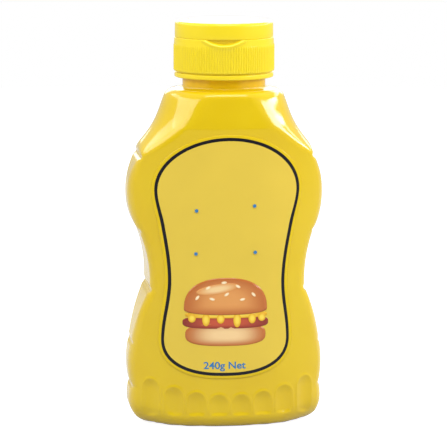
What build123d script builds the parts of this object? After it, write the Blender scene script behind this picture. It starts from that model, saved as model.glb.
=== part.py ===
from build123d import *

import os
from math import cos, pi, sin, sqrt, tan, radians

# Squeeze bottle with a screwed-on flip-top closure, in millimetres.
# +Z is up, +X is across the front, the front label faces -Y.
# The origin is on the ground, at the middle of the base.

# ---- Bottle: plan ----
PLAN_A = 37.3            # half axis of the plan ellipse, across the front
PLAN_B = 20.6            # half axis of the plan ellipse, front to back
PANEL_EDGE_R = 2.5       # rounding between front or back panel and side panel

# ---- Bottle: side panels, pillows between creases, from the ground up ----
# insets are measured in from PLAN_A
PILLOW_HEIGHTS = [13.3, 15.5, 19.6, 19.8, 26.7]
CREASE_INSETS = [3.8, 3.9, 10.0, 6.7, 6.9]     # at the top of each pillow
BULGE_INSETS = [2.8, 6.15, 9.5, 2.75]          # midway up each pillow above the lowest
BASE_INSET = 3.0         # widest place of the lowest pillow
BASE_SIDE_R = 7.0        # rounding of the base at the side panels
BASE_FRONT_R = 4.5       # rounding of the base at the front and back panels
GROOVE_R = 1.2           # radius of the groove along each crease
GROOVE_DEPTH = 0.5

# ---- Bottle: shoulder ----
SHOULDER_RISE = 22.7     # from the top crease to the flat top round the neck
TAPER_DROP = 12.4        # the front and back panels lean inwards from this far below the flat top
TAPER_ANGLE = 7.0        # degrees of that lean
RIM_R = 2.0              # rounding of the flat top's edge
SHOULDER_LAND = 5.3      # the turned shoulder's top is this much wider than the neck, all round
# the turned shoulder runs through these (drop below the flat top, inset from PLAN_A)
SHOULDER_MID = (12.8, 12.0)
SHOULDER_LOW = (20.4, 6.3)
SHOULDER_END = (24.2, 3.1)

# ---- Bottle: thumb-nail flutes above the base ----
FLUTE_COUNT = 8          # on each of front and back
FLUTE_MARGIN = 6.1       # from PLAN_A to the outer edge of the row
FLUTE_RIDGE = 0.8        # between neighbouring flutes
FLUTE_DEPTH = 0.7
FLUTE_FLOOR = 5.0        # height of the flutes' lower ends
FLUTE_NOSE = 8.4         # height where the two middle flutes start to close
FLUTE_RISE = 0.0068      # the others start to close this much higher per mm squared from the middle

# ---- Bottle: base recess and neck ----
RING_WIDTH = 4.5         # standing ring, measured in from the flat underside's edge
RECESS_DEPTH = 1.2
NECK_R = 14.5
NECK_SHOWN = 4.0         # neck between the shoulder's top and the closure
NECK_INSIDE = 9.5        # neck inside the closure
NECK_FILLET = 1.2

# ---- Closure ----
CLOSURE_TURN = -7.0      # degrees that the screwed-on closure stands turned about the neck
CAP_CLEARANCE = 0.2      # between the neck and the closure's bore, all round
CAP_WALL = 2.5           # from the bore to the lid's outside
RING_STEP = 0.1          # plain ring at the closure's lower edge, outwards from the lid
RING_HEIGHT = 1.6
GAP_DEPTH = 0.6          # dark groove over that ring, into the ring
GAP_HEIGHT = 0.5
RIB_STEP = 0.45          # over the ribs, outwards from the lid
RIB_DEPTH = 0.28
RIB_COUNT = 120
RIB_HEIGHT = 9.4
BAND_HEIGHT = 2.4        # plain band between the ribs and the lid
LID_HEIGHT = 5.5
LID_EDGE_R = 1.0
SCOOP_HALF_WIDTH = 6.7   # thumb scoop under the lid's front
SCOOP_DROP = 1.9         # how far the scoop reaches down the band
HINGE_WIDTH = 9.0        # strap of the lid's hinge, at the back
HINGE_DROP = 2.0         # below the lid's lower edge
HINGE_RISE = 2.0         # above it
HINGE_STEP = 0.5         # outside of the strap, outwards from the lid
HINGE_SINK = 0.4         # inside of the strap, inwards from the lid
HINGE_CLEARANCE = 0.15

# ---- Labels, hourglass films on the front and the back panel ----
FILM = 0.12              # thickness
LABEL_SHIFT = -1.3       # the front film sits this much off the middle
# (height over a crease, inset from PLAN_A) down one side of the film
LABEL_HEAD = (-11.9, 11.05)  # over the top crease
LABEL_NAPE = (2.4, 13.4)     # over the fourth crease
LABEL_WAIST = (2.6, 15.95)   # over the third
LABEL_FOOT = (2.4, 13.6)     # over the second
LABEL_TOE = (8.0, 17.7)      # over the lowest
LABEL_RISE = 7.6         # top of the film over the top crease
LABEL_DROP = 3.3         # bottom of the film over the lowest crease

# ---- Worked out ----
CREASE_HEIGHTS = [sum(PILLOW_HEIGHTS[: count + 1]) for count in range(len(PILLOW_HEIGHTS))]
TOP_CREASE = CREASE_HEIGHTS[-1]
SHOULDER_TOP = TOP_CREASE + SHOULDER_RISE
TAPER_START = SHOULDER_TOP - TAPER_DROP
LEAN = TAPER_DROP * tan(radians(TAPER_ANGLE))
NECK_LAND = PLAN_B - LEAN - NECK_R   # narrowest part of the flat top, in front of the neck
CAP_BOTTOM = SHOULDER_TOP + NECK_SHOWN
NECK_TOP = CAP_BOTTOM + NECK_INSIDE
RIB_BOTTOM = CAP_BOTTOM + RING_HEIGHT + GAP_HEIGHT
RIB_TOP = RIB_BOTTOM + RIB_HEIGHT
CAP_TOP = RIB_TOP + BAND_HEIGHT
BORE_R = NECK_R + CAP_CLEARANCE
LID_R = BORE_R + CAP_WALL
RIB_R = LID_R + RIB_STEP
RING_R = LID_R + RING_STEP
TOOL = 80.0              # half size of the blanks that are cut or intersected away


def panel_depth(x):
    """Half depth of the front and back panels at x."""
    return PLAN_B * sqrt(1 - (x / PLAN_A) ** 2)


def side_point(inset, height):
    """Point on the right side's outline, given by its inset from PLAN_A."""
    return (PLAN_A - inset, height)


def shoulder_point(drop, inset):
    """Point on the turned shoulder's outline, given by its drop below the flat top."""
    return (PLAN_A - inset, SHOULDER_TOP - drop)


def flute_places(cutter_r):
    """Cutter axis (x, y) and nose height of each front flute."""
    pitch = 2 * (PLAN_A - FLUTE_MARGIN) / FLUTE_COUNT
    places = []
    for index in range(FLUTE_COUNT):
        x = (index - (FLUTE_COUNT - 1) / 2) * pitch
        y = panel_depth(x)
        slope = Vector(x / PLAN_A**2, y / PLAN_B**2).normalized()
        out = cutter_r - FLUTE_DEPTH
        places.append((x + slope.X * out, -y - slope.Y * out, FLUTE_NOSE + FLUTE_RISE * x * x))
    return places


# ---- Bottle ----
with BuildPart() as bottle:
    # plan ellipse, upright to the taper and leaning in above it
    with BuildSketch():
        Ellipse(PLAN_A, PLAN_B)
    extrude(amount=TAPER_START)
    with BuildSketch(Plane.XY.offset(TAPER_START)):
        Ellipse(PLAN_A, PLAN_B)
    with BuildSketch(Plane.XY.offset(SHOULDER_TOP)):
        Ellipse(PLAN_A - LEAN, PLAN_B - LEAN)
    loft()

    # side panels: pillows between creases, carried front to back
    with BuildSketch(Plane.XZ):
        with BuildLine():
            foot = Line((0, 0), side_point(BASE_INSET + BASE_SIDE_R, 0))
            heel = RadiusArc(foot @ 1, side_point(BASE_INSET, BASE_SIDE_R), -BASE_SIDE_R)
            last = TangentArc(heel @ 1, side_point(CREASE_INSETS[0], CREASE_HEIGHTS[0]), tangent=heel % 1)
            for index, bulge in enumerate(BULGE_INSETS):
                low, high = CREASE_HEIGHTS[index], CREASE_HEIGHTS[index + 1]
                last = ThreePointArc(last @ 1, side_point(bulge, (low + high) / 2),
                                     side_point(CREASE_INSETS[index + 1], high))
            top = Line(last @ 1, side_point(CREASE_INSETS[-1], SHOULDER_TOP))
            Line(top @ 1, (0, SHOULDER_TOP))
            Line((0, SHOULDER_TOP), (0, 0))
        make_face()
        mirror(about=Plane.YZ)
    extrude(amount=TOOL, both=True, mode=Mode.INTERSECT)

    # turned shoulder, running on downwards and outwards at 45 degrees below its last point
    with BuildSketch(Plane.XZ):
        with BuildLine():
            upper = Line((NECK_R + SHOULDER_LAND, SHOULDER_TOP), shoulder_point(*SHOULDER_MID))
            lower = Line(shoulder_point(*SHOULDER_LOW), shoulder_point(*SHOULDER_END))
            Spline(upper @ 1, lower @ 0, tangents=[upper % 1, lower % 0])
            end = lower @ 1
            Polyline(end, (TOOL, end.Y - TOOL + end.X), (TOOL, -1), (0, -1), (0, SHOULDER_TOP), upper @ 0)
        make_face()
    revolve(axis=Axis.Z, mode=Mode.INTERSECT)

    # rounded base, then the corners between the panels, then the shoulder's rim
    fillet(bottle.faces().sort_by(Axis.Z)[0].edges().filter_by(GeomType.ELLIPSE), BASE_FRONT_R)
    corners = bottle.edges().filter_by(
        lambda edge: (edge @ 0.5).Z > BASE_SIDE_R
        and abs((edge @ 0).Z - (edge @ 1).Z) > 2
        and abs((edge @ 0.5).Y) > 1
        and (edge @ 0.5).Z < TOP_CREASE
    )
    fillet(corners, PANEL_EDGE_R)
    fillet(bottle.faces().sort_by(Axis.Z)[-1].edges(), min(RIM_R, 0.6 * NECK_LAND))

    # a groove along each crease, front to back
    for height, inset in zip(CREASE_HEIGHTS, CREASE_INSETS):
        out = PLAN_A - inset + GROOVE_R - GROOVE_DEPTH
        with Locations((out, 0, height), (-out, 0, height)):
            Cylinder(GROOVE_R, 2 * TOOL, rotation=(90, 0, 0), mode=Mode.SUBTRACT)

    # flutes: an upright round-nosed cutter, front and back, sized by the ridge it leaves
    half_chord = (PLAN_A - FLUTE_MARGIN) / FLUTE_COUNT - FLUTE_RIDGE / 2
    flute_r = (half_chord**2 + FLUTE_DEPTH**2) / (2 * FLUTE_DEPTH)
    for x, y, nose in flute_places(flute_r):
        with Locations((x, y, FLUTE_FLOOR), (x, -y, FLUTE_FLOOR)):
            Cylinder(flute_r, nose - FLUTE_FLOOR, align=(Align.CENTER, Align.CENTER, Align.MIN),
                     mode=Mode.SUBTRACT)
        with Locations((x, y, nose), (x, -y, nose)):
            Sphere(flute_r, arc_size1=0, mode=Mode.SUBTRACT)

    # neck
    with BuildSketch(Plane.XY.offset(SHOULDER_TOP)):
        Circle(NECK_R)
    extrude(amount=NECK_SHOWN + NECK_INSIDE)
    root = bottle.edges().filter_by(GeomType.CIRCLE).filter_by(
        lambda edge: abs((edge @ 0).Z - SHOULDER_TOP) < 0.01 and abs(edge.radius - NECK_R) < 0.01
    )
    fillet(root, min(NECK_FILLET, 0.3 * NECK_LAND))

    # recess in the underside, inside the standing ring
    with BuildSketch():
        Ellipse(PLAN_A - BASE_INSET - BASE_SIDE_R - RING_WIDTH, PLAN_B - BASE_FRONT_R - RING_WIDTH)
    extrude(amount=RECESS_DEPTH, taper=20, mode=Mode.SUBTRACT)


# ---- Closure: ribbed skirt with a closed top ----
with BuildPart() as cap:
    with BuildSketch(Plane.XY.offset(CAP_BOTTOM)):
        Circle(RING_R)
    extrude(amount=RING_HEIGHT)
    with BuildSketch(Plane.XY.offset(CAP_BOTTOM + RING_HEIGHT)):
        Circle(RING_R - GAP_DEPTH)
    extrude(amount=GAP_HEIGHT)
    with BuildSketch(Plane.XY.offset(RIB_BOTTOM)):
        ring = []
        for step in range(2 * RIB_COUNT):
            radius = RIB_R - RIB_DEPTH * (step % 2)
            ring.append((radius * cos(pi * step / RIB_COUNT), radius * sin(pi * step / RIB_COUNT)))
        with BuildLine():
            Polyline(*ring, close=True)
        make_face()
    extrude(amount=RIB_HEIGHT)
    with Locations((0, 0, RIB_TOP)):
        Cone(RIB_R - RIB_DEPTH, LID_R, BAND_HEIGHT, align=(Align.CENTER, Align.CENTER, Align.MIN))

    # bore for the neck, up to the closed top
    with BuildSketch(Plane.XY.offset(CAP_BOTTOM)):
        Circle(BORE_R)
    extrude(amount=NECK_TOP - CAP_BOTTOM, mode=Mode.SUBTRACT)

    # thumb scoop: a circle's lower cap, pushed in from the front as far as its corners allow
    scoop_r = (SCOOP_HALF_WIDTH**2 + SCOOP_DROP**2) / (2 * SCOOP_DROP)
    scoop_wall = sqrt(LID_R**2 - SCOOP_HALF_WIDTH**2)
    with BuildSketch(Plane.XZ.offset(scoop_wall)):
        with Locations((0, CAP_TOP - SCOOP_DROP + scoop_r)):
            Circle(scoop_r)
    extrude(amount=TOOL, mode=Mode.SUBTRACT)

    # seat for the hinge strap
    with BuildSketch(Plane.XY.offset(CAP_TOP - HINGE_DROP - HINGE_CLEARANCE)):
        with Locations((0, TOOL / 2)):
            Rectangle(HINGE_WIDTH + 2 * HINGE_CLEARANCE, TOOL)
        Circle(LID_R - HINGE_SINK - HINGE_CLEARANCE, mode=Mode.SUBTRACT)
    extrude(amount=TOOL, mode=Mode.SUBTRACT)


# ---- Closure: flip-top lid with its hinge strap ----
with BuildPart() as lid:
    with BuildSketch(Plane.XY.offset(CAP_TOP)):
        Circle(LID_R)
    extrude(amount=LID_HEIGHT)
    fillet(lid.faces().sort_by(Axis.Z)[-1].edges(), LID_EDGE_R)
    with BuildSketch(Plane.XY.offset(CAP_TOP - HINGE_DROP)):
        with Locations((0, TOOL / 2)):
            Rectangle(HINGE_WIDTH, TOOL)
        Circle(LID_R + HINGE_STEP, mode=Mode.INTERSECT)
        Circle(LID_R - HINGE_SINK, mode=Mode.SUBTRACT)
    extrude(amount=HINGE_DROP + HINGE_RISE)


# ---- Labels ----
def label_film(shift, facing):
    """Hourglass film, shifted sideways, on the panel that faces along Y times facing."""
    top = TOP_CREASE + LABEL_RISE
    bottom = CREASE_HEIGHTS[0] + LABEL_DROP
    sides = [LABEL_TOE, LABEL_FOOT, LABEL_WAIST, LABEL_NAPE, LABEL_HEAD]
    knots = [(PLAN_A - inset, crease + over) for crease, (over, inset) in zip(CREASE_HEIGHTS, sides)]
    head_width, head_height = knots[-1]
    with BuildPart() as film:
        with BuildSketch():
            Ellipse(PLAN_A + FILM, PLAN_B + FILM)
            Ellipse(PLAN_A, PLAN_B, mode=Mode.SUBTRACT)
        extrude(amount=TAPER_START)
        with BuildSketch(Plane.XZ):
            with BuildLine():
                EllipticalCenterArc((shift, head_height), head_width, top - head_height,
                                    start_angle=0, arc_size=180)
                for side in (1, -1):
                    points = [(shift, bottom)] + [(shift + side * width, height) for width, height in knots]
                    Spline(points, tangents=[(side, 0), (0, 1)])
            make_face()
        extrude(amount=-facing * TOOL, mode=Mode.INTERSECT)
    return film.part


pieces = {
    "bottle": bottle.part,
    "cap": cap.part.rotate(Axis.Z, CLOSURE_TURN),
    "lid": lid.part.rotate(Axis.Z, CLOSURE_TURN),
    "label_front": label_film(LABEL_SHIFT, -1),
    "label_back": label_film(0, 1),
}
os.makedirs("parts", exist_ok=True)
for name, piece in pieces.items():
    piece.label = name
    export_step(piece, f"parts/{name}.step")
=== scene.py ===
"""Looks of a mustard squeeze bottle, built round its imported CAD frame.

Lengths in the functions are millimetres; meshes are scaled to metres as they are written.
"""

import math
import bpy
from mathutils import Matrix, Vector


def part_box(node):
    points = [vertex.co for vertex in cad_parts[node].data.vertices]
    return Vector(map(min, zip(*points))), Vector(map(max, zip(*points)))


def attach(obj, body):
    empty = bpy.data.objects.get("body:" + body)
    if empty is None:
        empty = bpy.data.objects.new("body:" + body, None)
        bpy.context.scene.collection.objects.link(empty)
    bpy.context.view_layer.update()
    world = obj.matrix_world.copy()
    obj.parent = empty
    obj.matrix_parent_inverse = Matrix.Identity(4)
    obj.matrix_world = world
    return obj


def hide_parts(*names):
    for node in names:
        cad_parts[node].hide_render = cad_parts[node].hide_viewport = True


bl_info = {
    "name": "Mustard Squeeze Bottle",
    "version": (1, 0, 0),
    "blender": (4, 5, 0),
    "location": "3D View > Sidebar > Bottle",
    "description": "Glossy squeeze bottle with ribbed flip-top closure and printed label films",
    "category": "Object",
}

import bmesh
import bpy
import numpy as np
from mathutils import Quaternion, Vector

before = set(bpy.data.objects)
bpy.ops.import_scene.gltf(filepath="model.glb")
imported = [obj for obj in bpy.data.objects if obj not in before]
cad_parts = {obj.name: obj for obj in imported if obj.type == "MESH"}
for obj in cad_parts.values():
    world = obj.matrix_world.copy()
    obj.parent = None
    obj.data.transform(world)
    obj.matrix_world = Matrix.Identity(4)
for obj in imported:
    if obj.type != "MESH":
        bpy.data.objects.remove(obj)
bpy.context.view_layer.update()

MM = 0.001
CAP_LOW = np.array(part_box("cap")[0]) / MM
LID_HIGH = np.array(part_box("lid")[1]) / MM
FILM_LOW, FILM_HIGH = [np.array(corner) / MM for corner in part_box("label_front")]

# ---- bottle form, as in the CAD model ----
PLAN_A = 37.3
PLAN_B = 20.6
SHOULDER_TOP = 117.6
TAPER_START = 105.2
TAPER = math.tan(math.radians(7.0))
CREASES = [(13.3, 33.5), (28.8, 33.4), (48.4, 27.3), (68.2, 30.6), (94.9, 30.4)]
PILLOWS = [(21.05, 34.5), (38.6, 31.15), (58.3, 27.8), (81.55, 34.55)]
BASE_HALF_WIDTH = 34.3
BASE_SIDE_R = 7.0
BASE_FRONT_R = 4.8
PANEL_EDGE_R = 2.5
SHOULDER_EDGE_R = 1.0
RIM_R = 2.0
GROOVE_R = 1.2
SHOULDER_RADII = [(93.4, 34.2), (97.2, 31.0), (101.0, 28.0), (104.8, 25.3), (111.0, 22.6), (117.6, 19.8)]
SHOULDER_SLOPE = 0.86    # brings the turned shoulder's field near to a true distance
CREASE_BLEND = 0.35
FLUTE_PITCH = 7.8
FLUTE_COUNT = 8
FLUTE_R = 9.1
FLUTE_FLOOR = 5.0
FLUTE_NOSE = 8.4
FLUTE_RISE = 0.0068
FLUTE_RIM = 0.2
FLUTE_RIM_WIDTH = 0.32
RECESS = (22.8, 11.6, 1.2)   # half width, half depth and height of the hollow underneath
NECK_R = 14.5
NECK_FILLET = 1.2

# ---- bottle grid: rays start from the axis, fanned below BODY_LOW and above BODY_HIGH ----
BODY_LOW = 10.0
BODY_HIGH = 108.0
GRID_TURNS = 480
GRID_LEVELS = 142
GRID_UNDER = 30
GRID_OVER = 19
DENSE_LEVELS = [height for height, _ in CREASES] + [14.0, 17.0, TAPER_START]
DENSE_CORNERS = np.radians([17, 24])
RAY_LENGTH = 60.0
RAY_HALVINGS = 30

# ---- closure ----
CAP_BOTTOM = CAP_LOW[2]
CAP_TOP = LID_HIGH[2] - 5.5
RING_R = 17.3
RING_HEIGHT = 1.6
GAP_R = 16.7
GAP_HEIGHT = 0.5
RIB_R = 17.65
RIB_TOP = CAP_TOP - 2.4
LID_R = 17.2
SCOOP_HALF_WIDTH = 6.7
SCOOP_DROP = 1.9
HINGE_HALF_WIDTH = 4.5
CAP_TURN = math.radians(-7.0)
PLUG_TOP = CAP_BOTTOM + 1.9   # where the neck ends inside the closure
BORE_R = NECK_R + 0.25
BORE_TOP = CAP_BOTTOM + 2.0
CORE_R = 6.0                  # innermost ring of the closure's level faces
STEPS_PER_RIB = 6
GRIP_ROWS = 16
BAND_ROWS = 22
LID_TURNS = 256

# ---- label film ----
FILM_THICK = 0.12
FILM_TOP = FILM_HIGH[2] + 0.8
FILM_BOTTOM = FILM_LOW[2] + 1.3
FILM_MIDDLE = (FILM_LOW[0] + FILM_HIGH[0]) / 2
FILM_LEAN = 0.013        # the front film drifts to the right by this share of its height over FILM_LEVEL
FILM_LEVEL = 38.0
FILM_SIDE = [(84.0, 26.25), (71.6, 23.9), (52.0, 21.35), (32.2, 23.35)]
FILM_CENTRE = (0.0, 60.0)
FILM_RINGS = [1.0, 0.995, 0.98, 0.96, 0.94, 0.92, 0.9, 0.85, 0.78, 0.7, 0.6, 0.5, 0.4, 0.3, 0.2, 0.1, 0.05]
FILM_INNER_UV = 30.0     # UV distance at the middle of a film, well inside its outline
DECAL_RINGS = [1.0, 0.93, 0.82, 0.68, 0.5, 0.3, 0.1]
PRINT_LIFT = 0.15
PRINT_LAYER = 0.012
PRINT_MIDDLE = (-1.6, 42.0)
PRINT_SCALE = 1.15
DOTS = [(-11.8, 77.0), (8.3, 78.5), (-12.0, 62.0), (8.6, 62.3)]
DOT_R = 0.62
TEXT_BOX = (-9.3, 5.4, 20.6, 24.0)   # left, right, foot and head of the net weight
INK_ROUGHNESS = 0.2

# ---- stage, in metres and watts; azimuth 0 is in front of the bottle, positive to the right ----
FLOOR_R = 1.2
FLOOR_GREY = 0.42
FLOOR_GLOW = 0.88        # emission that the camera sees
FLOOR_IN_GLOSS = 0.3     # share of it in reflections
WORLD_LIGHT = 0.74
FRONT = (-0.12, -0.99, 0.0)
LAMP_AIM = 0.105
LAMPS = [                # name, azimuth, elevation, distance, size, power
    ("soft_box_right", 83, 21, 0.62, (0.75, 0.07), 2.3),
    ("soft_box_left", -73, 29, 0.62, (0.70, 0.16), 1.2),
    ("soft_box_top", 0, 62, 0.75, (0.50, 0.40), 2.9),
    ("soft_box_left_flank", -125, 30, 0.62, (0.45, 0.14), 0.5),
    ("soft_box_right_flank", 138, 24, 0.62, (0.40, 0.10), 0.5),
    ("soft_box_back", 173, 13, 0.95, (0.80, 0.26), 1.6),
]


# ---------------------------------------------------------------- meshes

def srgb(red, green, blue):
    """Linear colour of an 8-bit sRGB one, with alpha 1."""
    values = np.array([red, green, blue]) / 255
    linear = np.where(values <= 0.04045, values / 12.92, ((values + 0.055) / 1.055) ** 2.4)
    return (*[float(v) for v in linear], 1.0)


def new_piece(name, points, faces, node=None):
    """Mesh object at the origin from an (n, 3) array in millimetres and a list of face arrays."""
    mesh = bpy.data.meshes.new(name)
    flat = [tuple(int(i) for i in face) for block in faces for face in block]
    mesh.from_pydata((np.asarray(points) * MM).tolist(), [], flat)
    mesh.update()
    mesh.polygons.foreach_set("use_smooth", np.ones(len(mesh.polygons), dtype=bool))
    piece = bpy.data.objects.new(name, mesh)
    bpy.context.scene.collection.objects.link(piece)
    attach(piece, "root")
    if node:
        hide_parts(node)
    return piece


def ring_faces(rows, columns):
    """Quads between successive closed rings of a grid; row 0 is lowest, columns run anticlockwise."""
    row, column = np.meshgrid(np.arange(rows - 1), np.arange(columns), indexing="ij")
    following = (column + 1) % columns
    first = row * columns
    quads = np.stack([first + column, first + following,
                      first + columns + following, first + columns + column], axis=-1)
    return quads.reshape(-1, 4)


def closed_rings(rings):
    """Points and faces of a skin over (rows, columns, 3) rings, closed by a pole at each end."""
    rows, columns = rings.shape[:2]
    low = rings[0].mean(axis=0)
    high = rings[-1].mean(axis=0)
    points = np.vstack([rings.reshape(-1, 3), low, high])
    turn = np.arange(columns)
    following = (turn + 1) % columns
    last = (rows - 1) * columns
    bottom = np.stack([following, turn, np.full(columns, rows * columns)], axis=1)
    top = np.stack([last + turn, last + following, np.full(columns, rows * columns + 1)], axis=1)
    return points, [ring_faces(rows, columns), bottom, top]


def packed(low, high, count, centres, width, gain):
    """Values from low to high, closer together near the centres.

    Their spacing is inverse to 1 + gain * sum of exp(-((value - centre) / width)^2).
    """
    fine = np.linspace(low, high, 4001)
    density = 1 + gain * np.exp(-(((fine[:, None] - np.asarray(centres)) / width) ** 2)).sum(1)
    total = np.concatenate([[0.0], np.cumsum((density[1:] + density[:-1]) / 2)])
    return np.interp(np.linspace(0, total[-1], count), total, fine)


def set_uv(piece, u, v):
    """UV map from one (u, v) pair for each vertex."""
    mesh = piece.data
    layer = mesh.uv_layers.new(name="UVMap")
    corner = np.empty(len(mesh.loops), dtype=np.int64)
    mesh.loops.foreach_get("vertex_index", corner)
    layer.data.foreach_set("uv", np.stack([u[corner], v[corner]], axis=1).astype(np.float32).ravel())


# ---------------------------------------------------------------- bottle form

def round_max(a, b, radius):
    """Larger of two fields, with a circle of the radius where both are near zero."""
    corner = np.hypot(np.maximum(a + radius, 0), np.maximum(b + radius, 0))
    return np.minimum(np.maximum(a, b), -radius) + corner


def soft_max(a, b, width):
    """Larger of two fields, blended by a parabola where they differ by less than width."""
    share = np.maximum(width - np.abs(a - b), 0) / width
    return np.maximum(a, b) + share * share * width / 4


def smooth_step(low, high, value):
    """0 below low, 1 above high, with the cubic 3t^2 - 2t^3 between."""
    t = np.clip((value - low) / (high - low), 0, 1)
    return t * t * (3 - 2 * t)


def ellipse_field(x, y, a, b):
    """Distance outside an ellipse, to first order: (g - 1) / |grad g| with g the scaled radius."""
    g = np.sqrt((x / a) ** 2 + (y / b) ** 2) + 1e-9
    return (g - 1) * g / (np.hypot(x / a**2, y / b**2) + 1e-9)


def arc_half_width(z, low, middle, high):
    """Half width at height z on the circle through three (height, half width) points."""
    (z1, x1), (z2, x2), (z3, x3) = low, middle, high
    turn = 2 * (x1 * (z2 - z3) + x2 * (z3 - z1) + x3 * (z1 - z2))
    s1, s2, s3 = x1**2 + z1**2, x2**2 + z2**2, x3**2 + z3**2
    cx = (s1 * (z2 - z3) + s2 * (z3 - z1) + s3 * (z1 - z2)) / turn
    cz = (s1 * (x3 - x2) + s2 * (x1 - x3) + s3 * (x2 - x1)) / turn
    radius = math.hypot(x1 - cx, z1 - cz)
    side = 1 if x2 > cx else -1
    return cx + side * np.sqrt(np.maximum(radius**2 - (z - cz) ** 2, 0))


def side_half_width(z):
    """Half width of the side panels: one arc for each pillow, upright above the top crease."""
    z0, x0 = CREASES[0]
    heel = ((z0 - BASE_SIDE_R) ** 2 + (BASE_HALF_WIDTH - x0) ** 2) / (2 * (BASE_HALF_WIDTH - x0))
    foot = BASE_HALF_WIDTH - heel + np.sqrt(heel**2 - np.clip(z - BASE_SIDE_R, 0, heel / 2) ** 2)
    width = np.where(z < z0, foot, CREASES[-1][1])
    for low, middle, high in zip(CREASES[:-1], PILLOWS, CREASES[1:]):
        inside = (z >= low[0]) & (z < high[0])
        width = np.where(inside, arc_half_width(z, low, middle, high), width)
    return width


def shoulder_radius(z):
    """Radius of the turned shoulder, a smooth curve through its (height, radius) points."""
    heights, radii = np.array(SHOULDER_RADII).T
    fit = np.polynomial.Polynomial.fit(heights, radii, 4)
    return np.where(z < heights[0], radii[0] + (heights[0] - z), fit(np.clip(z, heights[0], 125)))


def bottle_field(p, groove_depth, flute_depth):
    """Field that is zero on the bottle's skin and negative inside.

    The panels, the side pillows and the turned shoulder are joined by round_max; flutes and
    creases are round cutters taken away by soft_max; the base is a ring round a shallow recess.
    Each flute has a raised rim, FLUTE_RIM * exp(-(distance / FLUTE_RIM_WIDTH)^2).
    """
    x, y, z = p[..., 0], p[..., 1], p[..., 2]
    wide = np.abs(x)
    panel = ellipse_field(x, y, PLAN_A, PLAN_B)
    lean = TAPER * np.maximum(z - TAPER_START, 0)
    panel = soft_max(panel, ellipse_field(x, y, PLAN_A - lean, PLAN_B - lean), 0.6)
    side = wide - side_half_width(z)
    turned = (np.hypot(x, y) - shoulder_radius(z)) * SHOULDER_SLOPE
    side = soft_max(side, turned, 1.0)
    corner = PANEL_EDGE_R + (SHOULDER_EDGE_R - PANEL_EDGE_R) * smooth_step(90, 97, z)
    wall = round_max(panel, side, corner)
    for height, half_width in CREASES:
        cutter = np.hypot(wide - (half_width + GROOVE_R - groove_depth), z - height) - GROOVE_R
        wall = soft_max(wall, -cutter, CREASE_BLEND)
    cutters = []
    for index in range(FLUTE_COUNT):
        cx = (index - (FLUTE_COUNT - 1) / 2) * FLUTE_PITCH
        cy = PLAN_B * math.sqrt(1 - (cx / PLAN_A) ** 2)
        slope = Vector((cx / PLAN_A**2, cy / PLAN_B**2)).normalized()
        out = FLUTE_R - flute_depth
        nose = FLUTE_NOSE + FLUTE_RISE * cx * cx
        across = np.hypot(x - cx - slope.x * out, np.abs(y) - cy - slope.y * out)
        cutter = np.hypot(across, np.maximum(z - nose, 0)) - FLUTE_R
        cutters.append(soft_max(cutter, FLUTE_FLOOR - z, 0.4))
    rim = np.exp(-(np.min(np.abs(cutters), axis=0) / FLUTE_RIM_WIDTH) ** 2) * smooth_step(4.5, 6.5, z)
    wall = wall - FLUTE_RIM * rim
    for cutter in cutters:
        wall = soft_max(wall, -cutter, 0.12)
    a, b, depth = RECESS
    recess = depth * (1 - smooth_step(-2.0, 0.3, ellipse_field(x, y, a, b)))
    edge = BASE_FRONT_R + (BASE_SIDE_R + 1.5 - BASE_FRONT_R) * smooth_step(16, 32, wide)
    field = round_max(wall, recess - z, edge)
    return round_max(field, z - SHOULDER_TOP, RIM_R)


def solve_rays(heights, elevations, turns, field):
    """Points where rays from the axis meet the zero of a field, by halving [0, RAY_LENGTH]."""
    elevation, turn = np.meshgrid(elevations, turns, indexing="ij")
    height = np.repeat(np.asarray(heights)[:, None], len(turns), axis=1)
    level = np.cos(elevation)
    along = np.stack([level * np.cos(turn), level * np.sin(turn), np.sin(elevation)], -1)
    origin = np.stack([0 * height, 0 * height, height], -1)
    near = np.zeros(height.shape)
    far = np.full(height.shape, RAY_LENGTH)
    for _ in range(RAY_HALVINGS):
        middle = (near + far) / 2
        outside = field(origin + along * middle[..., None]) > 0
        far = np.where(outside, middle, far)
        near = np.where(outside, near, middle)
    return origin + along * near[..., None]


def turned_rings(profile, turns):
    """Rings of a turned surface from (radius, height) pairs."""
    radius, height = np.asarray(profile).T
    return np.stack([radius[:, None] * np.cos(turns), radius[:, None] * np.sin(turns),
                     np.repeat(height[:, None], len(turns), 1)], -1)


def quarter(radius, height, r, start, end, steps):
    """(radius, height) pairs on a circle of radius r round a centre, from one angle to another."""
    angle = np.radians(np.linspace(start, end, steps))
    return np.stack([radius + r * np.cos(angle), height + r * np.sin(angle)], 1)


# ---------------------------------------------------------------- materials

def material(name):
    """New node material and its Principled shader."""
    made = bpy.data.materials.new(name)
    made.use_nodes = True
    return made, made.node_tree.nodes["Principled BSDF"]


def add(tree, kind, **inputs):
    """Adds a node of a kind, setting its properties and, by a leading 'in_', its input sockets."""
    node = tree.nodes.new(kind)
    for key, value in inputs.items():
        if key.startswith("in_"):
            name = key[3:]
            node.inputs[int(name) if name.isdigit() else name].default_value = value
        else:
            setattr(node, key, value)
    return node


def largest(tree, *sockets):
    """Output socket with the largest of several values."""
    result = sockets[0]
    for socket in sockets[1:]:
        node = add(tree, "ShaderNodeMath", operation="MAXIMUM")
        tree.links.new(result, node.inputs[0])
        tree.links.new(socket, node.inputs[1])
        result = node.outputs[0]
    return result


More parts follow.
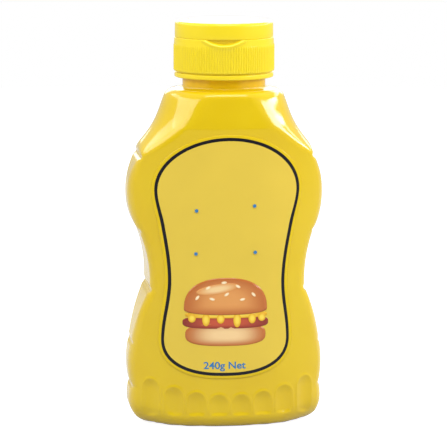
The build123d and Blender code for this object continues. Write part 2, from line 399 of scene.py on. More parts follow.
def moulded_group():
    """Shared effect: slow mottling of a moulded colour, and the fine waviness of its skin."""
    group = bpy.data.node_groups.new("moulded_skin", "ShaderNodeTree")
    for name, way, kind in (("Colour", "INPUT", "Color"), ("Deep Colour", "INPUT", "Color"),
                            ("Waviness", "INPUT", "Float"), ("Roughness", "INPUT", "Float"),
                            ("Colour", "OUTPUT", "Color"), ("Roughness", "OUTPUT", "Float"),
                            ("Height", "OUTPUT", "Float")):
        group.interface.new_socket(name, in_out=way, socket_type="NodeSocket" + kind)
    source = group.nodes.new("NodeGroupInput")
    result = group.nodes.new("NodeGroupOutput")
    place = group.nodes.new("ShaderNodeTexCoord")
    slow = add(group, "ShaderNodeTexNoise", in_Scale=55.0, in_Detail=2.0)
    fine = add(group, "ShaderNodeTexNoise", in_Scale=420.0, in_Detail=1.0)
    blend = add(group, "ShaderNodeMix", data_type="RGBA")
    ramp = add(group, "ShaderNodeMapRange", in_1=0.35, in_2=0.7, in_3=0.0, in_4=1.0)
    wave = add(group, "ShaderNodeMath", operation="MULTIPLY")
    grain = add(group, "ShaderNodeMapRange", in_1=0.3, in_2=0.7, in_3=-0.03, in_4=0.03)
    rough = add(group, "ShaderNodeMath", operation="ADD")
    link = group.links.new
    link(place.outputs["Object"], slow.inputs["Vector"])
    link(place.outputs["Object"], fine.inputs["Vector"])
    link(slow.outputs["Fac"], ramp.inputs["Value"])
    link(ramp.outputs["Result"], blend.inputs["Factor"])
    link(source.outputs["Colour"], blend.inputs["A"])
    link(source.outputs["Deep Colour"], blend.inputs["B"])
    link(fine.outputs["Fac"], grain.inputs["Value"])
    link(grain.outputs["Result"], rough.inputs[0])
    link(source.outputs["Roughness"], rough.inputs[1])
    link(slow.outputs["Fac"], wave.inputs[0])
    link(source.outputs["Waviness"], wave.inputs[1])
    link(blend.outputs["Result"], result.inputs["Colour"])
    link(rough.outputs[0], result.inputs["Roughness"])
    link(wave.outputs[0], result.inputs["Height"])
    return group


def skin_node(tree, colour, deep, roughness, waviness):
    """The shared group, built at its first use, placed in a material with its own values."""
    group = bpy.data.node_groups.get("moulded_skin") or moulded_group()
    skin = add(tree, "ShaderNodeGroup", node_tree=group)
    skin.inputs["Colour"].default_value = colour
    skin.inputs["Deep Colour"].default_value = deep
    skin.inputs["Waviness"].default_value = waviness
    skin.inputs["Roughness"].default_value = roughness
    return skin


def moulded_plastic(name, colour, deep, roughness, waviness):
    """Glossy moulded plastic: mottled colour, uneven roughness and faint waviness."""
    made, shader = material(name)
    tree = made.node_tree
    skin = skin_node(tree, colour, deep, roughness, waviness)
    bump = add(tree, "ShaderNodeBump", in_Strength=0.25, in_Distance=0.0004)
    tree.links.new(skin.outputs["Colour"], shader.inputs["Base Color"])
    tree.links.new(skin.outputs["Roughness"], shader.inputs["Roughness"])
    tree.links.new(skin.outputs["Height"], bump.inputs["Height"])
    tree.links.new(bump.outputs["Normal"], shader.inputs["Normal"])
    shader.inputs["IOR"].default_value = 1.5
    return made


def ink_material(name):
    """Material of printing ink and its shader."""
    made, shader = material(name)
    shader.inputs["Roughness"].default_value = INK_ROUGHNESS
    return made, shader


def plain_colour(rgb, share=1.0):
    """Linear RGBA tuple of a colour property, times a share."""
    return (rgb[0] * share, rgb[1] * share, rgb[2] * share, 1.0)


# ---------------------------------------------------------------- settings

class BottleSettings(bpy.types.PropertyGroup):
    """Looks of the blown bottle."""
    colour: bpy.props.FloatVectorProperty(
        name="Colour", description="Mustard yellow of the bottle", subtype="COLOR", size=3,
        min=0, max=1, default=srgb(224, 192, 20)[:3])
    deep: bpy.props.FloatVectorProperty(
        name="Deep Colour", description="Slightly deeper yellow in the mottling", subtype="COLOR", size=3,
        min=0, max=1, default=srgb(220, 186, 16)[:3])
    # Painted shade: the neck colour stands in for the closure's shadow and yellow bounce light on the neck
    neck: bpy.props.FloatVectorProperty(
        name="Painted Neck Shade", description="Painted shade: deeper, warmer yellow where the closure shades the neck", subtype="COLOR", size=3,
        min=0, max=1, default=srgb(240, 198, 0)[:3])
    roughness: bpy.props.FloatProperty(
        name="Roughness", description="Roughness of the bottle's skin", min=0, max=1, default=0.12)
    groove_depth: bpy.props.FloatProperty(
        name="Groove Depth", description="Depth of the side creases in millimetres",
        min=0, max=2, default=0.5)
    flute_depth: bpy.props.FloatProperty(
        name="Flute Depth", description="Depth of the flutes above the base in millimetres",
        min=0, max=2, default=0.75)


class ClosureSettings(bpy.types.PropertyGroup):
    """Looks of the flip-top closure."""
    colour: bpy.props.FloatVectorProperty(
        name="Colour", description="Lemon yellow of the closure", subtype="COLOR", size=3,
        min=0, max=1, default=srgb(250, 220, 0)[:3])
    roughness: bpy.props.FloatProperty(
        name="Roughness", description="Roughness of the closure", min=0, max=1, default=0.2)
    ribs: bpy.props.IntProperty(
        name="Ribs", description="Number of grip ribs round the skirt", min=12, max=200, default=120)
    rib_depth: bpy.props.FloatProperty(
        name="Rib Depth", description="Depth of the grip ribs in millimetres", min=0, max=1, default=0.28)


class LabelSettings(bpy.types.PropertyGroup):
    """Print on the label films."""
    ground: bpy.props.FloatVectorProperty(
        name="Ground", description="Pale yellow inside the outline", subtype="COLOR", size=3,
        min=0, max=1, default=srgb(228, 198, 72)[:3])
    ink: bpy.props.FloatVectorProperty(
        name="Outline Ink", description="Near-black navy of the outline", subtype="COLOR", size=3,
        min=0, max=1, default=srgb(8, 6, 20)[:3])
    blue: bpy.props.FloatVectorProperty(
        name="Blue Ink", description="Blue of the net weight and the dots", subtype="COLOR", size=3,
        min=0, max=1, default=srgb(48, 122, 178)[:3])
    outline: bpy.props.FloatProperty(
        name="Outline Width", description="Width of the outline in millimetres", min=0.2, max=3, default=1.15)
    inset: bpy.props.FloatProperty(
        name="Outline Inset", description="From the film's edge to the middle of the outline, in millimetres",
        min=0.5, max=5, default=1.6)


class StageSettings(bpy.types.PropertyGroup):
    """Camera and light."""
    azimuth: bpy.props.FloatProperty(
        name="Azimuth", description="Camera's turn round the bottle", subtype="ANGLE",
        default=math.radians(-7.0))
    distance: bpy.props.FloatProperty(
        name="Distance", description="Level distance of the camera", unit="LENGTH", min=0.2, default=0.87)
    height: bpy.props.FloatProperty(
        name="Height", description="Height of the camera", unit="LENGTH", default=0.203)
    aim: bpy.props.FloatProperty(
        name="Aim Height", description="Height that the camera looks at", unit="LENGTH", default=0.0694)
    width: bpy.props.FloatProperty(
        name="Frame Width", description="Width of the picture at the bottle", unit="LENGTH",
        min=0.02, default=0.1578)
    roll: bpy.props.FloatProperty(
        name="Roll", description="Camera's turn about its own line of sight", subtype="ANGLE",
        default=math.radians(0.15))


# ---------------------------------------------------------------- operators

class BOTTLE_OT_body(bpy.types.Operator):
    """Blown bottle with pillowed sides, turned shoulder, flutes and neck"""
    bl_idname = "bottle.body"
    bl_label = "Bottle"

    def execute(self, context):
        settings = context.scene.bottle_body
        turns = self.turns()
        points, faces = closed_rings(np.concatenate([self.skin(settings, turns), self.neck(turns)]))
        piece = new_piece("bottle_skin", points, faces, "bottle")
        plastic = moulded_plastic("bottle_plastic", plain_colour(settings.colour),
                                  plain_colour(settings.deep), settings.roughness, 0.4)
        # Painted shade: the neck is tinted deeper and warmer where the closure shades it
        self.paint_neck_shade(plastic.node_tree, plain_colour(settings.neck))
        piece.data.materials.append(plastic)
        return {"FINISHED"}

    def skin(self, settings, turns):
        """Rings from the middle of the underside up to the foot of the neck."""
        underside = packed(math.radians(-88), 0, GRID_UNDER + 1, [math.radians(-12)], math.radians(7), 3.0)
        underside = underside[:-1]
        levels = packed(BODY_LOW, BODY_HIGH, GRID_LEVELS, DENSE_LEVELS, 1.6, 2.5)
        steepest = math.atan2(SHOULDER_TOP - BODY_HIGH, NECK_R + NECK_FILLET)
        over = np.linspace(0, steepest, GRID_OVER + 1)[1:]
        heights = np.concatenate([np.full(GRID_UNDER, BODY_LOW), levels, np.full(GRID_OVER, BODY_HIGH)])
        elevations = np.concatenate([underside, np.zeros(GRID_LEVELS), over])

        def field(points):
            return bottle_field(points, settings.groove_depth, settings.flute_depth)

        return solve_rays(heights, elevations, turns, field)

    def neck(self, turns):
        """Rings of the neck: its fillet, its wall and the plug inside the closure."""
        fillet = quarter(NECK_R + NECK_FILLET, SHOULDER_TOP + NECK_FILLET, NECK_FILLET, 270, 180, 7)[1:]
        plug = [(NECK_R, CAP_BOTTOM), (NECK_R, PLUG_TOP), (4.0, PLUG_TOP)]
        return turned_rings(np.vstack([fillet, plug]), turns)

    def paint_neck_shade(self, tree, colour):
        """Painted shade: blends the skin's colour to the neck's deeper, warmer colour over the last
        millimetres of the shoulder, standing in for the closure's shadow and yellow bounce light on the neck.
        """
        base = tree.nodes["Principled BSDF"].inputs["Base Color"]
        skin = base.links[0].from_socket
        place = tree.nodes.new("ShaderNodeTexCoord")
        parts = tree.nodes.new("ShaderNodeSeparateXYZ")
        rise = add(tree, "ShaderNodeMapRange", in_1=SHOULDER_TOP * MM, in_2=(SHOULDER_TOP + 1.5) * MM)
        blend = add(tree, "ShaderNodeMix", data_type="RGBA")
        blend.inputs["B"].default_value = colour
        tree.links.new(place.outputs["Object"], parts.inputs[0])
        tree.links.new(parts.outputs["Z"], rise.inputs["Value"])
        tree.links.new(rise.outputs["Result"], blend.inputs["Factor"])
        tree.links.new(skin, blend.inputs["A"])
        tree.links.new(blend.outputs["Result"], base)

    def turns(self):
        """Angles round the bottle, closest at the ridges between flutes and at the side corners."""
        ridge = (np.arange(1, FLUTE_COUNT) - FLUTE_COUNT / 2) * FLUTE_PITCH
        at = np.arctan2(PLAN_B * np.sqrt(1 - (ridge / PLAN_A) ** 2), ridge)
        front = np.concatenate([at, DENSE_CORNERS, math.pi - DENSE_CORNERS])
        centres = np.concatenate([front, 2 * math.pi - front])
        return packed(0, 2 * math.pi, GRID_TURNS + 1, centres, math.radians(1.6), 3.0)[:-1]


class BOTTLE_OT_closure(bpy.types.Operator):
    """Ribbed skirt with thumb scoop, flip-top lid and hinge strap"""
    bl_idname = "bottle.closure"
    bl_label = "Closure"

    def execute(self, context):
        settings = context.scene.bottle_closure
        self.skirt(settings)
        self.lid(settings)
        self.strap()
        return {"FINISHED"}

    def plastic(self, settings):
        """The closure's plastic, made once."""
        made = bpy.data.materials.get("closure_plastic")
        colour = plain_colour(settings.colour)
        deep = (colour[0] * 0.97, colour[1] * 0.95, colour[2] * 0.8, 1.0)
        return made or moulded_plastic("closure_plastic", colour, deep, settings.roughness, 0.3)

    def skirt_profile(self, ring_top, rib_low):
        """(radius, height) pairs of the skirt without its ribs, from the bore round to the top."""
        foot = np.vstack([
            [(CORE_R, BORE_TOP), (BORE_R, BORE_TOP), (BORE_R, CAP_BOTTOM + 0.2), (NECK_R + 0.4, CAP_BOTTOM)],
            quarter(RING_R - 0.3, CAP_BOTTOM + 0.3, 0.3, 270, 360, 4),
            quarter(RING_R - 0.2, ring_top - 0.2, 0.2, 0, 90, 3),
            [(GAP_R, ring_top), (GAP_R, rib_low)],
            [(RIB_R - 0.35, rib_low), (RIB_R - 0.15, rib_low + 0.12)],
        ])
        grip_z = np.linspace(rib_low + 0.4, RIB_TOP - 0.3, GRIP_ROWS)
        grip = np.stack([np.full(GRIP_ROWS, RIB_R - 0.1), grip_z], 1)
        band_z = np.linspace(RIB_TOP, CAP_TOP - 0.12, BAND_ROWS)
        band_high = LID_R + 0.12
        band_r = band_high + (RIB_R - 0.15 - band_high) * (CAP_TOP - band_z) / (CAP_TOP - RIB_TOP)
        band = np.stack([band_r, band_z], 1)
        top_z = CAP_TOP - 0.02
        return np.vstack([foot, grip, band, [(LID_R - 0.1, top_z), (LID_R - 0.6, top_z), (CORE_R, top_z)]])

    def skirt(self, settings):
        """Turned rings whose radius drops between ribs and into the thumb scoop.

        Ribs: |cos(ribs * turn / 2)|^0.7 times the rib depth. The scoop is a circle's segment cut to an
        upright plane, with a lip exp(-((distance + 0.6) / 0.5)^2) along its edge.
        """
        turns = np.linspace(0, 2 * math.pi, STEPS_PER_RIB * settings.ribs, endpoint=False)
        ring_top = CAP_BOTTOM + RING_HEIGHT
        rib_low = ring_top + GAP_HEIGHT
        profile = self.skirt_profile(ring_top, rib_low)
        radius = np.repeat(profile[:, :1], len(turns), 1)
        height = np.repeat(profile[:, 1:], len(turns), 1)
        ribbed = smooth_step(rib_low, rib_low + 0.5, height)
        ribbed = ribbed * (1 - smooth_step(RIB_TOP - 0.45, RIB_TOP, height))
        wave = np.abs(np.cos(settings.ribs * turns / 2)) ** 0.7
        radius = radius + ribbed * settings.rib_depth * (wave - 0.65)
        scoop_r = (SCOOP_HALF_WIDTH**2 + SCOOP_DROP**2) / (2 * SCOOP_DROP)
        wall = math.sqrt(LID_R**2 - SCOOP_HALF_WIDTH**2)
        aside = turns - 1.5 * math.pi
        across = radius * np.sin(aside)
        inside = scoop_r - np.hypot(across, height - (CAP_TOP - SCOOP_DROP + scoop_r))
        cut = smooth_step(-0.1, 0.4, inside)
        facing = np.maximum(np.cos(aside), 0.3)
        scooped = np.minimum(radius, wall / facing)
        outer = (np.cos(aside) > 0.5) & (height > rib_low)
        radius = np.where(outer, radius + (scooped - radius) * cut, radius)
        lip = 0.3 * np.exp(-(((inside + 0.6) / 0.5) ** 2)) * (height < CAP_TOP - 0.25)
        radius = np.where(outer & (np.abs(across) < SCOOP_HALF_WIDTH + 1), radius + lip, radius)
        angle = turns + CAP_TURN
        rings = np.stack([radius * np.cos(angle), radius * np.sin(angle), height], -1)
        points, faces = closed_rings(rings)
        piece = new_piece("closure_skirt", points, faces, "cap")
        piece.data.materials.append(self.plastic(settings))

    def lid(self, settings):
        """Turned lid with a rounded rim."""
        turns = np.linspace(0, 2 * math.pi, LID_TURNS, endpoint=False)
        high = LID_HIGH[2]
        profile = np.vstack([
            [(CORE_R, CAP_TOP), (LID_R - 0.7, CAP_TOP)],
            quarter(LID_R - 0.22, CAP_TOP + 0.22, 0.22, 270, 360, 5),
            [(LID_R - 0.02, CAP_TOP + 2.0), (LID_R - 0.06, CAP_TOP + 4.0)],
            quarter(LID_R - 1.08, high - 1.0, 1.0, 0, 90, 10),
            [(LID_R - 2.0, high), (9.0, high - 0.02), (3.0, high - 0.03)],
        ])
        points, faces = closed_rings(turned_rings(profile, turns))
        piece = new_piece("closure_lid", points, faces, "lid")
        piece.data.materials.append(self.plastic(settings))

    def strap(self):
        """Hinge strap: a rounded bar bent round the back, its section a superellipse."""
        u = np.linspace(-math.pi / 2, math.pi / 2, 25)
        v = np.linspace(0, 2 * math.pi, 32, endpoint=False)
        u, v = np.meshgrid(u[1:-1], v, indexing="ij")

        def power(value):
            return np.sign(value) * np.abs(value) ** 0.25

        across = HINGE_HALF_WIDTH * power(np.sin(u))
        radius = LID_R + 0.02 + 0.44 * power(np.cos(u)) * power(np.cos(v))
        height = CAP_TOP + 1.95 * power(np.cos(u)) * power(np.sin(v))
        angle = math.pi / 2 - across / LID_R + CAP_TURN
        rings = np.stack([radius * np.cos(angle), radius * np.sin(angle), height], -1)
        points, faces = closed_rings(rings)
        piece = new_piece("closure_strap", points, faces, "lid")
        piece.data.materials.append(bpy.data.materials["closure_plastic"])


def film_outline(count):
    """Right half of the film's edge from bottom to top: (across, height) points.

    The head is half an ellipse; below it the half width follows a smooth curve through FILM_SIDE,
    and the foot closes as a superellipse.
    """
    head_z, head_w = FILM_SIDE[0]
    foot_z, foot_w = FILM_SIDE[3]
    turn = np.linspace(0, math.pi / 2, count)
    foot_fall = (foot_z - FILM_BOTTOM) * np.cos(turn) ** 0.82
    foot = np.stack([foot_w * np.sin(turn) ** 0.82, foot_z - foot_fall], 1)
    heights = np.linspace(foot_z, head_z, count + 2)[1:-1]
    knots = np.array(FILM_SIDE)[::-1]
    slopes = np.array([0.0, 0.0, (head_w - FILM_SIDE[2][1]) / (head_z - FILM_SIDE[2][0]) * 1.25, 0.0])
    side = np.stack([hermite(heights, knots[:, 0], knots[:, 1], slopes), heights], 1)
    head = np.stack([head_w * np.cos(turn), head_z + (FILM_TOP - head_z) * np.sin(turn)], 1)
    return np.vstack([foot, side, head])


def hermite(at, knots, values, slopes):
    """Cubic curve through knots with given slopes."""
    index = np.clip(np.searchsorted(knots, at) - 1, 0, len(knots) - 2)
    step = knots[index + 1] - knots[index]
    t = (at - knots[index]) / step
    return ((2 * t**3 - 3 * t**2 + 1) * values[index] + (t**3 - 2 * t**2 + t) * step * slopes[index]
            + (3 * t**2 - 2 * t**3) * values[index + 1] + (t**3 - t**2) * step * slopes[index + 1])


def on_panel(across, height, lift, facing=-1):
    """Points on the front (facing -1) or back panel, lifted off its ellipse."""
    depth = (PLAN_B + lift) * np.sqrt(np.maximum(1 - (across / (PLAN_A + lift)) ** 2, 0))
    return np.stack([across, facing * depth, height], -1)


def rounded(half_width, half_height, power, turn=0.0, count=72):
    """Superellipse |x/a|^p + |z/b|^p = 1, anticlockwise, turned by an angle."""
    angle = np.linspace(0, 2 * math.pi, count, endpoint=False)
    c, s = np.cos(angle), np.sin(angle)
    x = half_width * np.sign(c) * np.abs(c) ** (2 / power)
    z = half_height * np.sign(s) * np.abs(s) ** (2 / power)
    return np.stack([x * math.cos(turn) - z * math.sin(turn), x * math.sin(turn) + z * math.cos(turn)], 1)


def dome(half_width, rise, drop):
    """Superellipse of power 2.4, its upper half as high as rise and its lower half as deep as drop."""
    outline = rounded(half_width, 1.0, 2.4)
    outline[:, 1] *= np.where(outline[:, 1] > 0, rise, drop)
    return outline


def decal(outline, layer, edge, middle):
    """Thin closed shell on the front film, tinted from the edge colour to the middle one.

    Rings are the outline drawn in towards its centre; the back of the shell is one layer lower.
    """
    centre = outline.mean(axis=0)
    shrink = np.array(DECAL_RINGS)[:, None, None]
    flat = centre + shrink * (outline - centre)
    lift = PRINT_LIFT + PRINT_LAYER * (layer + 1)
    outer = on_panel(flat[..., 0], flat[..., 1], lift)
    inner = on_panel(flat[..., 0], flat[..., 1], lift - PRINT_LAYER)
    points, faces = closed_rings(np.concatenate([inner[::-1], outer]))
    tint = np.array(edge) + smooth_step(0, 0.7, 1 - shrink) * (np.array(middle) - np.array(edge))
    tint = np.repeat(tint, len(outline), axis=1)
    colours = np.concatenate([tint[::-1], tint]).reshape(-1, 4)
    return points, faces, np.vstack([colours, middle, middle])


class BOTTLE_OT_labels(bpy.types.Operator):
    """Hourglass label films on the front and back panels, with their print"""
    bl_idname = "bottle.labels"
    bl_label = "Label Films"

    def execute(self, context):
        settings = context.scene.bottle_label
        bottle = context.scene.bottle_body
        film = self.film_material(settings, bottle)
        for node, middle, lean, facing in (("label_front", FILM_MIDDLE, FILM_LEAN, -1),
                                           ("label_back", 0.0, 0.0, 1)):
            piece = self.film(node + "_film", node, middle, lean, facing)
            piece.data.materials.append(film)
        self.drawing(settings)
        self.net_weight(settings)
        return {"FINISHED"}

    def film(self, name, node, middle, lean, facing):
        """Closed film: rings shrink from the edge to a centre on the outer face and on the inner one.

        UV u is the distance in millimetres from the edge, to first order.
        """
        right = film_outline(60)
        left = right[::-1][1:-1] * (-1, 1)
        edge = np.vstack([right, left])
        centre = np.array(FILM_CENTRE)
        tangent = np.roll(edge, -1, 0) - np.roll(edge, 1, 0)
        normal = np.stack([tangent[:, 1], -tangent[:, 0]], 1)
        normal /= np.linalg.norm(normal, axis=1, keepdims=True)
        reach = np.abs(((edge - centre) * normal).sum(1))
        shrink = np.array(FILM_RINGS)
        flat = centre + shrink[:, None, None] * (edge - centre)
        lift = np.full(len(shrink), FILM_THICK)
        lift[0] = FILM_THICK * 0.4
        across = flat[..., 0] + middle + lean * (flat[..., 1] - FILM_LEVEL)
        outer = on_panel(across, flat[..., 1], lift[:, None], facing)
        inner = on_panel(across, flat[..., 1], -0.01, facing)
        points, faces = closed_rings(np.concatenate([inner[::-1], outer]))
        if facing > 0:
            faces = [block[:, ::-1] for block in faces]
        piece = new_piece(name, points, faces, node)
        distance = (1 - shrink[:, None]) * reach
        u = np.concatenate([distance[::-1].ravel(), distance.ravel(), [FILM_INNER_UV, FILM_INNER_UV]])
        set_uv(piece, u, points[:, 2] / 100)
        return piece

    def bun(self):
        """Filled bun in layers, back to front: (outline, across, height, edge colour, middle colour)."""
        crust, crumb, pale = srgb(190, 106, 44), srgb(226, 156, 84), srgb(244, 208, 150)
        meat, meat_light = srgb(140, 44, 28), srgb(198, 82, 50)
        sauce, sauce_light = srgb(232, 176, 24), srgb(250, 218, 74)
        shapes = [
            (rounded(12.2, 3.4, 3.0), 0.0, -7.4, crust, pale),
            (rounded(13.0, 1.9, 3.5), 0.0, -3.6, meat, meat_light),
            (rounded(12.4, 1.0, 3.5), 0.2, -1.3, sauce, sauce_light),
        ]
        for across, drop in ((-10.2, 1.3), (-6.0, 2.0), (-1.6, 1.5), (3.4, 2.3), (8.0, 1.6), (11.0, 1.2)):
            shapes.append((rounded(1.15, drop, 2.0), across, -1.6 - drop * 0.55, sauce, sauce_light))
        shapes.append((dome(12.6, 9.6, 1.7), 0.0, 0.4, crust, crumb))
        shapes.append((rounded(6.4, 1.5, 2.0, 0.16), -2.6, 6.6, crumb, pale))
        for across, height, turn in ((-8.6, 4.0, 0.9), (-5.4, 7.0, 0.5), (-4.2, 3.6, -0.3), (-0.6, 8.6, 0.1),
                                     (0.2, 5.0, 0.6), (3.6, 7.4, -0.5), (5.0, 3.4, 0.2), (8.4, 4.8, -0.8)):
            shapes.append((rounded(0.85, 0.42, 2.0, turn), across, height, pale, srgb(255, 238, 204)))
        return shapes

    def drawing(self, settings):
        """Printed drawing of a filled bun, and four dots, as thin coloured shells on the film."""
        blue = plain_colour(settings.blue)
        printed = [(np.array(PRINT_MIDDLE) + PRINT_SCALE * (outline + (across, height)), edge, middle)
                   for outline, across, height, edge, middle in self.bun()]
        printed += [(rounded(DOT_R, DOT_R, 2.0) + dot, blue, blue) for dot in DOTS]
        points, faces, colours, count = [], [], [], 0
        for layer, (outline, edge, middle) in enumerate(printed):
            shell, shell_faces, shell_colours = decal(outline, layer, edge, middle)
            faces += [block + count for block in shell_faces]
            points.append(shell)
            colours.append(shell_colours)
            count += len(shell)
        piece = new_piece("label_drawing", np.vstack(points), faces)
        tint = piece.data.color_attributes.new("print_colour", "FLOAT_COLOR", "POINT")
        tint.data.foreach_set("color", np.vstack(colours).astype(np.float32).ravel())
        made, shader = ink_material("label_print")
        source = add(made.node_tree, "ShaderNodeAttribute", attribute_name="print_colour")
        made.node_tree.links.new(source.outputs["Color"], shader.inputs["Base Color"])
        piece.data.materials.append(made)

    def net_weight(self, settings):
        """Printed net weight: text made a mesh, scaled to its place and laid on the film."""
        curve = bpy.data.curves.new("net_weight", "FONT")
        curve.body = "240g Net"
        curve.extrude = 0.004
        curve.offset = 0.02
        holder = bpy.data.objects.new("net_weight_text", curve)
        bpy.context.scene.collection.objects.link(holder)
        bpy.context.view_layer.update()
        flat = bpy.data.meshes.new_from_object(holder.evaluated_get(bpy.context.evaluated_depsgraph_get()))
        shape = bmesh.new()
        shape.from_mesh(flat)
        bmesh.ops.remove_doubles(shape, verts=shape.verts, dist=1e-5)
        bmesh.ops.recalc_face_normals(shape, faces=shape.faces)
        shape.to_mesh(flat)
        shape.free()
        at = np.empty(3 * len(flat.vertices))
        flat.vertices.foreach_get("co", at)
        at = at.reshape(-1, 3)
        faces = [[tuple(face.vertices) for face in flat.polygons]]
        bpy.data.objects.remove(holder)
        bpy.data.curves.remove(curve)
        bpy.data.meshes.remove(flat)
        low, high = at.min(0), at.max(0)
        left, right, foot, head = TEXT_BOX
        across = left + (right - left) * (at[:, 0] - low[0]) / (high[0] - low[0])
        height = foot + (head - foot) * (at[:, 1] - low[1]) / (high[1] - low[1])
        lift = PRINT_LIFT + PRINT_LAYER * np.sign(at[:, 2])
        piece = new_piece("net_weight", on_panel(across, height, lift), faces)
        piece.data.polygons.foreach_set("use_smooth", np.zeros(len(piece.data.polygons), dtype=bool))
        made, shader = ink_material("label_blue")
        shader.inputs["Base Color"].default_value = plain_colour(settings.blue)
        piece.data.materials.append(made)

    def film_material(self, settings, bottle):
        """Film printed by distance from its edge: bottle yellow, then the outline, then a paler ground."""
        made, shader = material("label_film")
        tree = made.node_tree
        link = tree.links.new
        uv = add(tree, "ShaderNodeUVMap", uv_map="UVMap")
        parts = tree.nodes.new("ShaderNodeSeparateXYZ")
        link(uv.outputs["UV"], parts.inputs[0])
        skin = skin_node(tree, plain_colour(settings.ground), plain_colour(settings.ground, 0.96), 0.2, 0.3)
        inner = settings.inset - settings.outline / 2
        outer = settings.inset + settings.outline / 2
        past = add(tree, "ShaderNodeMapRange", in_1=inner - 0.05, in_2=inner + 0.05)
        beyond = add(tree, "ShaderNodeMapRange", in_1=outer - 0.05, in_2=outer + 0.05)
        link(parts.outputs["X"], past.inputs["Value"])
        link(parts.outputs["X"], beyond.inputs["Value"])
        stroke = add(tree, "ShaderNodeMix", data_type="RGBA")
        stroke.inputs["A"].default_value = plain_colour(bottle.colour)
        stroke.inputs["B"].default_value = plain_colour(settings.ink)
        field = add(tree, "ShaderNodeMix", data_type="RGBA")
        link(past.outputs["Result"], stroke.inputs["Factor"])
        link(beyond.outputs["Result"], field.inputs["Factor"])
        link(stroke.outputs["Result"], field.inputs["A"])
        link(skin.outputs["Colour"], field.inputs["B"])
        link(field.outputs["Result"], shader.inputs["Base Color"])
        link(skin.outputs["Roughness"], shader.inputs["Roughness"])
        shader.inputs["Specular IOR Level"].default_value = 0.3
        return made


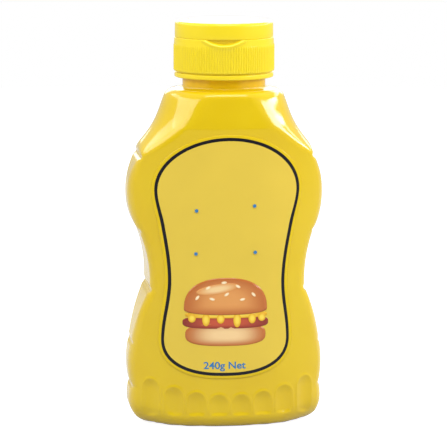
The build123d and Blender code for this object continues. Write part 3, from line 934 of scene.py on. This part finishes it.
class BOTTLE_OT_stage(bpy.types.Operator):
    """Pale floor, white surroundings, soft boxes and the camera"""
    bl_idname = "bottle.stage"
    bl_label = "Stage"

    def execute(self, context):
        settings = context.scene.bottle_stage
        scene = context.scene
        scene.view_settings.view_transform = "Standard"
        self.camera(scene, settings)
        self.surroundings(scene)
        self.floor(scene)
        for lamp in LAMPS:
            self.soft_box(*lamp)
        return {"FINISHED"}

    def camera(self, scene, settings):
        """Camera on a level circle round the bottle, its lens set by the frame's width there."""
        data = bpy.data.cameras.new("camera")
        camera = bpy.data.objects.new("camera", data)
        scene.collection.objects.link(camera)
        camera.location = (settings.distance * math.sin(settings.azimuth),
                           -settings.distance * math.cos(settings.azimuth), settings.height)
        along = Vector((0, 0, settings.aim)) - camera.location
        roll = Quaternion((0, 0, 1), settings.roll)
        camera.rotation_euler = (along.to_track_quat("-Z", "Y") @ roll).to_euler()
        data.lens = data.sensor_width * along.length / settings.width
        scene.camera = camera

    def surroundings(self, scene):
        """World: white to the camera; in reflections a pale room, dim on the side of the camera."""
        world = bpy.data.worlds.new("surroundings")
        scene.world = world
        world.use_nodes = True
        tree = world.node_tree
        light = tree.nodes["Background"]
        light.inputs["Color"].default_value = (1, 1, 1, 1)
        light.inputs["Strength"].default_value = WORLD_LIGHT
        place = tree.nodes.new("ShaderNodeTexCoord")
        front = add(tree, "ShaderNodeVectorMath", operation="DOT_PRODUCT", in_1=FRONT)
        room = add(tree, "ShaderNodeMapRange", in_1=0.82, in_2=0.6, in_3=0.05, in_4=0.6)
        rays = tree.nodes.new("ShaderNodeLightPath").outputs
        camera, glossy, through = rays["Is Camera Ray"], rays["Is Glossy Ray"], rays["Is Transmission Ray"]
        seen = add(tree, "ShaderNodeBackground", in_Color=(1, 1, 1, 1))
        mix = tree.nodes.new("ShaderNodeMixShader")
        link = tree.links.new
        link(place.outputs["Generated"], front.inputs[0])
        link(front.outputs["Value"], room.inputs["Value"])
        link(largest(tree, room.outputs["Result"], camera), seen.inputs["Strength"])
        link(largest(tree, camera, glossy, through), mix.inputs["Fac"])
        link(light.outputs[0], mix.inputs[1])
        link(seen.outputs[0], mix.inputs[2])
        link(mix.outputs[0], tree.nodes["World Output"].inputs["Surface"])

    def floor(self, scene):
        """Level disc under the bottle; it glows to the camera, so it is white but for the bottle's shade."""
        turns = np.linspace(0, 2 * math.pi, 96, endpoint=False)
        points = np.stack([FLOOR_R * np.cos(turns), FLOOR_R * np.sin(turns), 0 * turns], 1)
        mesh = bpy.data.meshes.new("floor")
        mesh.from_pydata(points.tolist(), [], [tuple(range(len(turns)))])
        floor = bpy.data.objects.new("floor", mesh)
        scene.collection.objects.link(floor)
        made, shader = material("floor_paint")
        tree = made.node_tree
        shader.inputs["Base Color"].default_value = (FLOOR_GREY, FLOOR_GREY, FLOOR_GREY, 1)
        shader.inputs["Roughness"].default_value = 0.9
        shader.inputs["Specular IOR Level"].default_value = 0.1
        rays = tree.nodes.new("ShaderNodeLightPath").outputs
        shine = add(tree, "ShaderNodeMath", operation="MULTIPLY", in_1=FLOOR_GLOW)
        dimmed = add(tree, "ShaderNodeMath", operation="MULTIPLY", in_1=FLOOR_IN_GLOSS)
        tree.links.new(rays["Is Glossy Ray"], dimmed.inputs[0])
        seen = largest(tree, rays["Is Camera Ray"], dimmed.outputs[0], rays["Is Transmission Ray"])
        tree.links.new(seen, shine.inputs[0])
        shader.inputs["Emission Color"].default_value = (1, 1, 1, 1)
        tree.links.new(shine.outputs[0], shader.inputs["Emission Strength"])
        floor.data.materials.append(made)

    def soft_box(self, name, azimuth, elevation, distance, size, power):
        """Rectangular area lamp facing the bottle, unseen by the camera."""
        data = bpy.data.lights.new(name, "AREA")
        data.shape = "RECTANGLE"
        data.size, data.size_y = size
        data.energy = power
        lamp = bpy.data.objects.new(name, data)
        bpy.context.scene.collection.objects.link(lamp)
        turn, rise = math.radians(azimuth), math.radians(elevation)
        out = Vector((math.sin(turn) * math.cos(rise), -math.cos(turn) * math.cos(rise), math.sin(rise)))
        lamp.location = Vector((0, 0, LAMP_AIM)) + distance * out
        lamp.visible_camera = False
        lamp.rotation_euler = (-out).to_track_quat("-Z", "Y").to_euler()


class BOTTLE_PT_panel(bpy.types.Panel):
    """Sidebar panel with every piece and its settings"""
    bl_idname = "BOTTLE_PT_panel"
    bl_label = "Mustard Squeeze Bottle"
    bl_space_type = "VIEW_3D"
    bl_region_type = "UI"
    bl_category = "Bottle"

    def draw(self, context):
        layout = self.layout
        for operator, group in PIECES:
            layout.operator(operator)
            settings = getattr(context.scene, group)
            for name in settings.bl_rna.properties.keys():
                if name not in ("rna_type", "name"):
                    layout.prop(settings, name)


GROUPS = {
    "bottle_body": BottleSettings,
    "bottle_closure": ClosureSettings,
    "bottle_label": LabelSettings,
    "bottle_stage": StageSettings,
}
PIECES = [
    ("bottle.stage", "bottle_stage"),
    ("bottle.body", "bottle_body"),
    ("bottle.closure", "bottle_closure"),
    ("bottle.labels", "bottle_label"),
]
CLASSES = [
    *GROUPS.values(),
    BOTTLE_OT_body,
    BOTTLE_OT_closure,
    BOTTLE_OT_labels,
    BOTTLE_OT_stage,
    BOTTLE_PT_panel,
]


def register():
    for cls in CLASSES:
        bpy.utils.register_class(cls)
    for name, group in GROUPS.items():
        setattr(bpy.types.Scene, name, bpy.props.PointerProperty(type=group))


def unregister():
    for name in GROUPS:
        delattr(bpy.types.Scene, name)
    for cls in reversed(CLASSES):
        bpy.utils.unregister_class(cls)


def main():
    register()
    bpy.ops.bottle.stage()
    bpy.ops.bottle.body()
    bpy.ops.bottle.closure()
    bpy.ops.bottle.labels()


if __name__ == "__main__":
    main()
